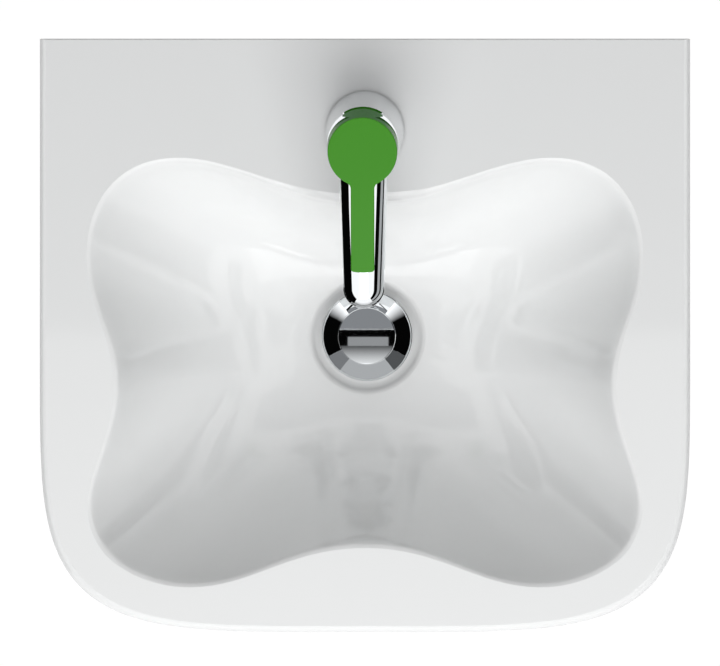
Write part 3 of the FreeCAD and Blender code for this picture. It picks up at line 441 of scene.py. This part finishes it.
def winding(tip: float, back: float, half_height: float, pitch: float, low: float, turns: int,
            corners: int = 3) -> bpy.types.Object:
    """Closed coil round the Z axis: a groove's cutter with three corners, or a wire with many.

    Args:
        tip: Least distance from the axis in millimetres.
        back: Greatest distance from the axis.
        half_height: Half the height of its section.
        pitch: Rise in one turn.
        low: Height at which it starts.
        turns: Whole turns.
        corners: Corners of its section.

    Returns:
        The coil.
    """
    alone()
    bpy.ops.mesh.primitive_circle_add(vertices=corners, radius=1.0, fill_type="NOTHING")
    made = bpy.context.object
    move(made, Matrix.Rotation(math.radians(QUARTER), 4, "Z"))
    low_x, high_x, top_y = (max(sign * corner.co[axis] for corner in made.data.vertices)
                            for sign, axis in ((-1, 0), (1, 0), (1, 1)))
    move(made, Matrix.Translation((low_x, 0, 0)))
    move(made, Matrix.Diagonal(((back - tip) / (low_x + high_x), half_height / top_y, 1, 1)))
    move(made, Matrix.Translation((tip, 0, low)) @ Matrix.Rotation(math.radians(QUARTER), 4, "X"))
    only(made)
    coil = made.modifiers.new("coil", "SCREW")
    coil.axis = "Z"
    coil.angle = math.tau
    coil.screw_offset = pitch
    coil.iterations = turns
    coil.steps = coil.render_steps = COIL_STEPS
    coil.use_merge_vertices = False
    bpy.ops.object.modifier_apply(modifier=coil.name)
    bpy.ops.object.mode_set(mode="EDIT")
    bpy.ops.mesh.select_mode(type="EDGE")
    bpy.ops.mesh.select_all(action="DESELECT")
    bpy.ops.mesh.select_non_manifold()
    bpy.ops.mesh.fill_holes(sides=0)
    bpy.ops.mesh.select_all(action="SELECT")
    bpy.ops.mesh.normals_make_consistent(inside=False)
    bpy.ops.object.mode_set(mode="OBJECT")
    return made


def cut_thread(piece: bpy.types.Object, radius: float, depth: float, pitch: float, turns: int,
               way: Matrix = Matrix.Identity(4)) -> None:
    """Cuts a thread's groove round a piece.

    Args:
        piece: Piece to thread.
        radius: Outer radius of the thread in millimetres.
        depth: Depth of the groove.
        pitch: Rise in one turn.
        turns: Whole turns, from one pitch below the piece's own zero.
        way: From the thread's own place to the piece's.
    """
    groove = winding(radius - depth, radius + depth / 2, pitch * GROOVE_SHARE, pitch, -pitch, turns)
    move(groove, way)
    combine(piece, groove, "DIFFERENCE")


@dataclass
class Fine:
    """Piece modelled finer than the plain one that it stands for, in millimetres about its own axis."""

    node: str
    slot: str
    body: str = FIXED

    def model(self) -> bpy.types.Object:
        """Shapes the piece round the Z axis."""
        raise NotImplementedError

    def way(self) -> Matrix:
        """From the piece's own place, in millimetres, to the scene."""
        low, high = (Vector(corner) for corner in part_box(self.node))
        return Matrix.Translation(((low.x + high.x) / 2, (low.y + high.y) / 2, low.z)) @ Matrix.Scale(MM, 4)

    def tall(self) -> float:
        """Height of the plain piece in millimetres."""
        low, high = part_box(self.node)
        return (high[2] - low[2]) / MM

    def build(self, dresser: Dresser) -> bpy.types.Object:
        """Models, places and dresses the piece.

        Args:
            dresser: Gives the piece its finish.

        Returns:
            The finished piece.
        """
        made = self.model()
        settle(made, self.way())
        self.stand_in(made, dresser)
        return made

    def stand_in(self, made: bpy.types.Object, dresser: Dresser) -> None:
        """Lets the finished piece take the plain one's place.

        Args:
            made: The finished piece.
            dresser: Gives the piece its finish.
        """
        made.name = made.data.name = self.node + "_fine"
        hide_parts(self.node)
        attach(made, self.body)
        dresser.dress(made, self.slot)
        log.info("modelled %s finer: %d faces", self.node, len(made.data.polygons))


@dataclass
class Stud(Fine):
    """Threaded rod with chamfered ends."""

    radius: float = 4.0
    pitch: float = 1.25
    depth: float = 0.62
    chamfer: float = 0.8

    def model(self) -> bpy.types.Object:
        """Bar with tapered ends and one groove wound along it."""
        tall = self.tall()
        share = (self.radius - self.depth) / self.radius
        made = bar(self.radius, self.chamfer, tall - self.chamfer)
        for upper in (False, True):
            taper_end(made, upper, self.chamfer, share)
        cut_thread(made, self.radius, self.depth, self.pitch, math.ceil(tall / self.pitch) + 2)
        return made


@dataclass
class Nut(Fine):
    """Hexagon nut with both ends turned to a cone and a plain bore."""

    across: float = 13.0
    bore: float = 4.1
    end_share: float = 0.86
    cone_degrees: float = 30.0
    blank_ease: float = 1.001

    def model(self) -> bpy.types.Object:
        """What a hexagon bar and a turned blank share, less the bore."""
        tall = self.tall()
        corner = self.across / math.sqrt(3)
        made = bar(corner, 0.0, tall, HEXAGON)
        move(made, Matrix.Rotation(math.radians(QUARTER), 4, "Z"))
        rise = corner * (1 - self.end_share) * math.tan(math.radians(self.cone_degrees))
        blank = bar(corner * self.blank_ease, rise, tall - rise, BLANK_SIDES)
        for upper in (False, True):
            taper_end(blank, upper, rise, self.end_share)
        combine(made, blank, "INTERSECT")
        combine(made, bar(self.bore, -tall, 2 * tall), "DIFFERENCE")
        return made


@dataclass
class SocketScrew(Fine):
    """Grub screw with a hexagon socket in its outer end, lying in the tap's lean."""

    radius: float = 2.4
    start: float = 4.05
    length: float = 3.25
    socket_across: float = 2.5
    socket_depth: float = 1.8
    pitch: float = 0.8
    depth: float = 0.35
    height: float = 110.0
    tap_y: float = -64.0
    lean: float = 9.0

    def way(self) -> Matrix:
        """Along the wall's direction in the leaning tap."""
        foot = Matrix.Translation((0, self.tap_y * MM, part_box("basin")[1][2]))
        leaning = foot @ Matrix.Rotation(math.radians(self.lean), 4, "X")
        place = Matrix.Translation((0, self.start, self.height))
        lying = place @ Matrix.Rotation(math.radians(-QUARTER), 4, "X")
        return leaning @ Matrix.Scale(MM, 4) @ lying

    def model(self) -> bpy.types.Object:
        """Threaded bar with its socket."""
        end = self.depth
        made = bar(self.radius, end, self.length - end, SCREW_SIDES)
        for upper in (False, True):
            taper_end(made, upper, end, (self.radius - end) / self.radius)
        cut_thread(made, self.radius, self.depth, self.pitch, math.ceil(self.length / self.pitch) + 2)
        socket = bar(self.socket_across / math.sqrt(3), self.length - self.socket_depth, 2 * self.length,
                     HEXAGON)
        combine(made, socket, "DIFFERENCE")
        return made


@dataclass
class Plug(SocketScrew):
    """Snap-in plug whose outer end follows the tongue's slope, so that it lies flush."""

    radius: float = 2.79
    start: float = 19.19
    length: float = 1.6
    slope: float = -0.3357
    tip_share: float = 0.9

    def model(self) -> bpy.types.Object:
        """Short bar with a tapered inner end, sliced along the tongue's surface."""
        made = bar(self.radius, 0.0, 2 * self.length)
        tip = self.length / 4
        taper_end(made, False, tip, self.tip_share)
        move(made, Matrix.Translation((0, 0, tip)))
        only(made)
        bpy.ops.object.mode_set(mode="EDIT")
        bpy.ops.mesh.select_all(action="SELECT")
        bpy.ops.mesh.bisect(plane_co=(0, 0, self.length), plane_no=(0, self.slope, 1.0), use_fill=True,
                            clear_outer=True)
        bpy.ops.object.mode_set(mode="OBJECT")
        return made


@dataclass
class Coil(Fine):
    """Compression spring of round wire with its ends cut square."""

    radius: float = 4.4
    wire: float = 1.2
    turns: int = 6
    travel: float = 8.0

    def model(self) -> bpy.types.Object:
        """Round wire wound as often as the plain spring."""
        rise = (self.tall() - self.wire) / self.turns
        half = self.wire / 2
        return winding(self.radius - half, self.radius + half, half, rise, half, self.turns, WIRE_SIDES)

    def build(self, dresser: Dresser) -> bpy.types.Object:
        """Builds the spring and gives it a mesh of its own.

        Args:
            dresser: Gives the piece its finish.

        Returns:
            The finished piece.
        """
        made = super().build(dresser)
        (self.tall() - self.travel) / self.tall()
        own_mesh(made)
        return made


@dataclass
class WasteThread(Fine):
    """Chromed waste with its pipe thread cut into the tail."""

    radius: float = 20.95
    pitch: float = 2.309
    depth: float = 0.70
    tail: float = 30.0

    def build_on(self, plain: bpy.types.Object, dresser: Dresser) -> bpy.types.Object:
        """Cuts the thread into a merged copy of the plain piece.

        Args:
            plain: The piece that came with the frame.
            dresser: Gives the piece its finish.

        Returns:
            The finished piece.
        """
        made = plain.copy()
        made.data = plain.data.copy()
        bpy.context.collection.objects.link(made)
        settle(made, Matrix.Identity(4))
        turns = math.ceil(self.tail / self.pitch) + 1
        cut_thread(made, self.radius, self.depth, self.pitch, turns, self.way())
        settle(made, Matrix.Identity(4))
        self.stand_in(made, dresser)
        return made


def card(name: str, place: Vector, half_width: float, half_depth: float,
         facing: Vector) -> bpy.types.Object:
    """Adds a flat stage card.

    Args:
        name: Name of the card.
        place: Its middle.
        half_width: Half its width in metres.
        half_depth: Half its depth in metres.
        facing: Direction that its front faces.

    Returns:
        The card.
    """
    alone()
    bpy.ops.mesh.primitive_plane_add(size=2)
    made = bpy.context.object
    made.name = name
    move(made, Matrix.Diagonal((half_width, half_depth, 1, 1)))
    move(made, facing.to_track_quat("Z", "Y").to_matrix().to_4x4())
    move(made, Matrix.Translation(place))
    return made


@dataclass(frozen=True)
class Card:
    """Flat card that only mirrors see, from its front: it shapes what chrome and glaze reflect.

    Places and sizes are in metres from the middle of the deck. The middle is x, y and the height
    above the deck, and the halves are the half width and the half depth before it is turned. A fade
    is the shade at the front edge or, with a sweep, at the first of two angles round the stopper.
    """

    name: str
    middle: Point
    halves: tuple[float, float]
    facing: Point
    shade: str
    strength: float = 1.0
    fade: str = ""
    sweep: tuple[float, float] | None = None

    def build(self, deck_middle: Vector, turn: float = 0.0) -> bpy.types.Object:
        """Adds the card round the deck's middle.

        Args:
            deck_middle: Middle of the deck in the scene.
            turn: Degrees that it is turned about the upright through its own middle.

        Returns:
            The card.
        """
        place = deck_middle + Vector(self.middle)
        made = card(self.name, place, *self.halves, Vector(self.facing))
        spun = Matrix.Rotation(math.radians(turn), 4, "Z")
        move(made, Matrix.Translation(place) @ spun @ Matrix.Translation(-place))
        made.data.materials.append(self.paint())
        made.visible_camera = False
        made.visible_diffuse = False
        made.visible_transmission = False
        made.visible_shadow = False
        return made

    def paint(self) -> bpy.types.Material:
        """Even tone on the front of the card and nothing on its back.

        Returns:
            The new material.
        """
        made = bpy.data.materials.new(self.name)
        tree = bare_tree(made)
        back = add_node(tree, "ShaderNodeNewGeometry").outputs["Backfacing"]
        tone = add_node(tree, "ShaderNodeEmission", {"Color": linear(self.shade), "Strength": self.strength},
                        {"Color": self.faded(tree)} if self.fade else None)
        clear = add_node(tree, "ShaderNodeBsdfTransparent")
        both = add_node(tree, "ShaderNodeMixShader",
                        links={0: back, 1: tone.outputs[0], 2: clear.outputs[0]})
        add_node(tree, "ShaderNodeOutputMaterial", links={"Surface": both.outputs[0]})
        return made

    def faded(self, tree: bpy.types.NodeTree) -> bpy.types.NodeSocket:
        """Colour that goes from the fade to the shade, to the back or round the stopper."""
        place = add_node(tree, "ShaderNodeTexCoord").outputs["Object"]
        parts = add_node(tree, "ShaderNodeSeparateXYZ", links={"Vector": place})
        middle = DECK_MIDDLE_Y + self.middle[1]
        ends, way = (middle - self.halves[1], middle + self.halves[1]), parts.outputs["Y"]
        if self.sweep:
            ends = tuple(math.radians(angle) for angle in self.sweep)
            aside = add_node(tree, "ShaderNodeMath", {"operation": "ABSOLUTE"}, {0: parts.outputs["X"]})
            behind = add_node(tree, "ShaderNodeMath",
                              {"operation": "SUBTRACT", 1: DECK_MIDDLE_Y + DRAIN_Y},
                              {0: parts.outputs["Y"]})
            way = add_node(tree, "ShaderNodeMath", {"operation": "ARCTAN2"},
                           {0: behind.outputs[0], 1: aside.outputs[0]}).outputs[0]
        share = add_node(tree, "ShaderNodeMapRange", {"From Min": ends[0], "From Max": ends[1]},
                         {"Value": way})
        return add_node(tree, "ShaderNodeMix",
                        {"data_type": "RGBA", 6: linear(self.fade), 7: linear(self.shade)},
                        {0: share.outputs[0]}).outputs[2]


@dataclass(frozen=True)
class StopperCard:
    """Upright card beside the stopper with a brim over its edge, seen by its dome alone."""

    name: str
    turn: float
    half_angle: float
    shade: str
    distance: float = 0.060
    floor: float = -0.118
    top: float = 0.0
    brim: tuple[float, float] = (0.0225, 0.0370)
    brim_height: float = -0.078
    fade: str = ""
    strength: float = 1.0

    def build(self, deck_middle: Vector) -> None:
        """Adds the upright card and its brim.

        Args:
            deck_middle: Middle of the deck in the scene.
        """
        angle = math.radians(self.turn)
        out = Vector((math.cos(angle), math.sin(angle), 0.0))
        spread = math.tan(math.radians(self.half_angle))
        upright = out * self.distance + Vector((0.0, DRAIN_Y, (self.floor + self.top) / 2))
        sweep = None
        if self.fade:
            lean = math.degrees(math.asin(out.y))
            sweep = (lean - self.half_angle, lean + self.half_angle)
        Card(self.name, tuple(upright), (self.distance * spread, (self.top - self.floor) / 2),
             tuple(-out), self.shade, self.strength, self.fade, sweep).build(deck_middle)
        near, far = self.brim
        middle = out * (near + far) / 2 + Vector((0.0, DRAIN_Y, self.brim_height))
        brim = Card(self.name + "_brim", tuple(middle), (far * spread, (far - near) / 2), (0.0, 0.0, -1.0),
                    self.shade, self.strength, self.fade, sweep).build(deck_middle, self.turn - QUARTER)
        self.fan(brim, deck_middle + Vector((0.0, DRAIN_Y, self.brim_height)), out)

    def fan(self, brim: bpy.types.Object, centre: Vector, out: Vector) -> None:
        """Bends the straight brim to a fan round the stopper, so that its inner edge is an arc.

        Args:
            brim: The straight brim.
            centre: Point on the stopper's axis at the brim's height.
            out: Direction from the axis to the brim's middle.
        """
        only(brim)
        bpy.ops.object.mode_set(mode="EDIT")
        bpy.ops.mesh.select_all(action="SELECT")
        bpy.ops.mesh.subdivide(number_cuts=FAN_CUTS)
        bpy.ops.object.mode_set(mode="OBJECT")
        aside = Vector((-out.y, out.x, 0.0))
        half_width = self.brim[1] * math.tan(math.radians(self.half_angle))
        for point in brim.data.vertices:
            place = point.co - centre
            swing = math.radians(self.half_angle) * place.dot(aside) / half_width
            point.co = centre + place.dot(out) * (out * math.cos(swing) + aside * math.sin(swing))


@dataclass
class Studio:
    """Floor, lamp, cards and camera round the basin.

    Distances are in metres. The photograph was taken straight from above, so the camera looks
    down its own axis, and the shift alone brings the basin to its place in the picture.
    """

    deck: float
    centre: Vector
    photo_width_px: float = 720.0
    photo_height_px: float = 666.0
    centre_line_px: float = 364.9
    wall_px: float = 38.5
    axis_px: tuple[float, float] = (395.0, 300.0)
    deck_scale: float = 0.6897 * MM
    camera_height: float = 1.5
    sensor: float = 36.0
    hung_height: float = 0.85
    floor_span: float = 16.0
    floor_shade: str = "989898"
    floor_white: float = 1.12
    floor_share: float = 0.88
    lamp_distance: float = 2.5
    lamp_azimuth: float = 3.0
    lamp_elevation: float = 50.0
    lamp_width: float = 2.1
    lamp_depth: float = 2.4
    lamp_power: float = 50.0
    sky_front: float = 0.52
    sky_back: float = 0.26
    sky_seen: float = 1.3
    cards: tuple[Card | StopperCard, ...] = (
        # Rig behind the camera, with the gap and the lit screen that the stopper's crown mirrors.
        Card("rig_overhead", (0.0, 0.293, 1.56), (0.60, 0.312), (0.0, 0.0, -1.0), "949699"),
        Card("rig_gap", (-0.021, -0.0313, 1.54), (0.080, 0.0120), (0.0, 0.0, -1.0), "040404"),
        Card("rig_screen", (-0.019, -0.0366, 1.52), (0.030, 0.0067), (0.0, 0.0, -1.0), "a4a5a6"),
        Card("rig_fading", (-0.021, -0.0563, 1.54), (0.080, 0.0130), (0.0, 0.0, -1.0), "4c4d4e",
             fade="fbfbfb"),
        # Face of the softbox, dimmer and a little larger than the lamp that it stands for.
        Card("softbox_face", (0.08, -1.60, 1.92), (1.15, 1.26), (-0.03, 0.64, -0.77), "ffffff",
             strength=2.4),
        # Flags beside the spout and the stopper, and far ones for the rims of the basin.
        Card("far_flag_left", (-0.46, -0.02, 0.075), (0.34, 0.09), (1.0, 0.0, 0.0), "0a0a0a"),
        Card("far_flag_right", (0.46, -0.02, 0.075), (0.34, 0.09), (-1.0, 0.0, 0.0), "0a0a0a"),
        Card("spout_flag_left", (-0.055, 0.045, 0.045), (0.100, 0.038), (1.0, 0.0, 0.0), "050505"),
        Card("spout_flag_right_upper", (0.055, 0.045, 0.0815), (0.100, 0.0115), (-1.0, 0.0, 0.0), "050505"),
        Card("spout_flag_right_middle", (0.055, 0.045, 0.0622), (0.100, 0.0078), (-1.0, 0.0, 0.0), "b9babb"),
        Card("spout_flag_right_lower", (0.055, 0.045, 0.0489), (0.100, 0.0055), (-1.0, 0.0, 0.0), "050505"),
        # Ring round the stopper: black at its sides, fading to white behind and grey in front.
        StopperCard("stopper_flag_right", 0.0, 28.0, "060606"),
        StopperCard("stopper_flag_left", 180.0, 28.0, "060606"),
        StopperCard("stopper_blend_right", 39.0, 11.5, "ffffff", fade="060606", strength=1.6),
        StopperCard("stopper_blend_left", 141.0, 11.5, "ffffff", fade="060606", strength=1.6),
        StopperCard("stopper_card_right", 320.0, 12.0, "5c5d5e"),
        StopperCard("stopper_card_left", 220.0, 12.0, "87888a"),
        StopperCard("stopper_card_front", 270.0, 38.0, "c0c1c2"),
        # Grey shelf behind the basin, which the back of the tap mirrors.
        Card("shelf_behind", (0.0, 0.355, -0.002), (0.40, 0.150), (0.0, 0.0, 1.0), "bcc4cc"),
    )

    def add_camera(self) -> None:
        """Puts the camera over the basin at the photograph's distance."""
        right = (self.axis_px[0] - self.centre_line_px) * self.deck_scale
        forward = (self.axis_px[1] - self.wall_px) * self.deck_scale
        data = bpy.data.cameras.new("overhead_camera")
        data.sensor_width = self.sensor
        data.lens = self.sensor * self.camera_height / (self.photo_width_px * self.deck_scale)
        data.shift_x = (self.photo_width_px / 2 - self.axis_px[0]) / self.photo_width_px
        data.shift_y = (self.axis_px[1] - self.photo_height_px / 2) / self.photo_width_px
        data.clip_end = self.floor_span * 2
        camera = bpy.data.objects.new("overhead_camera", data)
        camera.location = (right, -forward, self.deck + self.camera_height)
        bpy.context.collection.objects.link(camera)
        bpy.context.scene.camera = camera

    def add_sky(self) -> None:
        """Plain pale surroundings: white to the eye and in mirrors, dimmer as light."""
        world = bpy.data.worlds.new("pale_surroundings")
        tree = bare_tree(world)
        way = add_node(tree, "ShaderNodeTexCoord").outputs["Generated"]
        toward_wall = add_node(tree, "ShaderNodeSeparateXYZ", links={"Vector": way}).outputs["Y"]
        glow = add_node(tree, "ShaderNodeMapRange", {"From Min": -1.0, "To Min": self.sky_front,
                                                     "To Max": self.sky_back}, {"Value": toward_wall})
        lit = add_node(tree, "ShaderNodeBackground", {"Color": linear("ffffff")},
                       {"Strength": glow.outputs[0]})
        white = add_node(tree, "ShaderNodeBackground",
                         {"Color": linear("ffffff"), "Strength": self.sky_seen})
        both = add_node(tree, "ShaderNodeMixShader",
                        links={0: self.seen(tree), 1: lit.outputs[0], 2: white.outputs[0]})
        add_node(tree, "ShaderNodeOutputWorld", links={"Surface": both.outputs[0]})
        bpy.context.scene.world = world

    def seen(self, tree: bpy.types.NodeTree) -> bpy.types.NodeSocket:
        """One for rays from the camera, a mirror or glass, and nought for light."""
        path = add_node(tree, "ShaderNodeLightPath")
        mirror = add_node(tree, "ShaderNodeMath", {"operation": "MAXIMUM"},
                          {0: path.outputs["Is Camera Ray"], 1: path.outputs["Is Glossy Ray"]})
        glass = add_node(tree, "ShaderNodeMath", {"operation": "MAXIMUM"},
                         {0: mirror.outputs[0], 1: path.outputs["Is Transmission Ray"]})
        return glass.outputs[0]

    def add_floor(self) -> None:
        """Pale floor at the usual depth below a hung basin."""
        half = self.floor_span / 2
        middle = Vector((0, 0, self.deck - self.hung_height))
        floor = card("studio_floor", middle, half, half, Vector((0, 0, 1)))
        made = bpy.data.materials.new("pale_studio_floor")
        tree = bare_tree(made)
        paint = add_node(tree, "ShaderNodeBsdfDiffuse", {"Color": linear(self.floor_shade)})
        white = add_node(tree, "ShaderNodeEmission",
                         {"Color": linear("ffffff"), "Strength": self.floor_white})
        share = add_node(tree, "ShaderNodeMath", {"operation": "MULTIPLY", 1: self.floor_share},
                         {0: self.seen(tree)})
        both = add_node(tree, "ShaderNodeMixShader",
                        links={0: share.outputs[0], 1: paint.outputs[0], 2: white.outputs[0]})
        add_node(tree, "ShaderNodeOutputMaterial", links={"Surface": both.outputs[0]})
        floor.data.materials.append(made)

    def add_lamp(self) -> None:
        """Adds the one large softbox in front of the basin and above it."""
        data = bpy.data.lights.new("front_softbox", "AREA")
        data.shape = "RECTANGLE"
        data.size = self.lamp_width
        data.size_y = self.lamp_depth
        data.energy = self.lamp_power
        lamp = bpy.data.objects.new("front_softbox", data)
        turn, rise = math.radians(self.lamp_azimuth), math.radians(self.lamp_elevation)
        way = Vector((math.sin(turn) * math.cos(rise), -math.cos(turn) * math.cos(rise), math.sin(rise)))
        lamp.location = self.centre + way * self.lamp_distance
        lamp.rotation_euler = way.to_track_quat("Z", "Y").to_euler()
        lamp.visible_glossy = False
        bpy.context.collection.objects.link(lamp)

    def build(self) -> None:
        """Sets up the whole studio."""
        self.add_camera()
        self.add_sky()
        self.add_floor()
        self.add_lamp()
        for each in self.cards:
            each.build(self.centre)
        log.info("studio is set")


def plain(bounds: tuple) -> list[list[float]]:
    """Bounds as plain lists of numbers."""
    return [[float(v) for v in corner] for corner in bounds]


def main() -> None:
    """Builds the pieces in order and sets the studio round them."""
    logging.basicConfig(level=logging.INFO, format="%(message)s")
    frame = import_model()
    dresser = Dresser(frame["record"])
    dresser.dress_nodes(frame["nodes"])
    for fine in (Stud("fixing_stud", "zinc_steel"), Nut("fixing_nut", "brass"),
                 Nut("back_nut", "brass", across=52.0, bore=21.05, end_share=0.92),
                 SocketScrew("lever_screw", "zinc_steel", LEVER), Plug("lever_plug", "green_plastic", LEVER),
                 Coil("click_spring", "spring_steel")):
        fine.build(dresser)
    WasteThread("waste_body", "chrome_plate").build_on(frame["nodes"]["waste_body"], dresser)
    low, high = (Vector(corner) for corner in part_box("basin"))
    Studio(deck=high.z, centre=Vector((0, (low.y + high.y) / 2, high.z))).build()
    bpy.context.scene.view_settings.view_transform = "Standard"


if __name__ == "__main__":
    main()
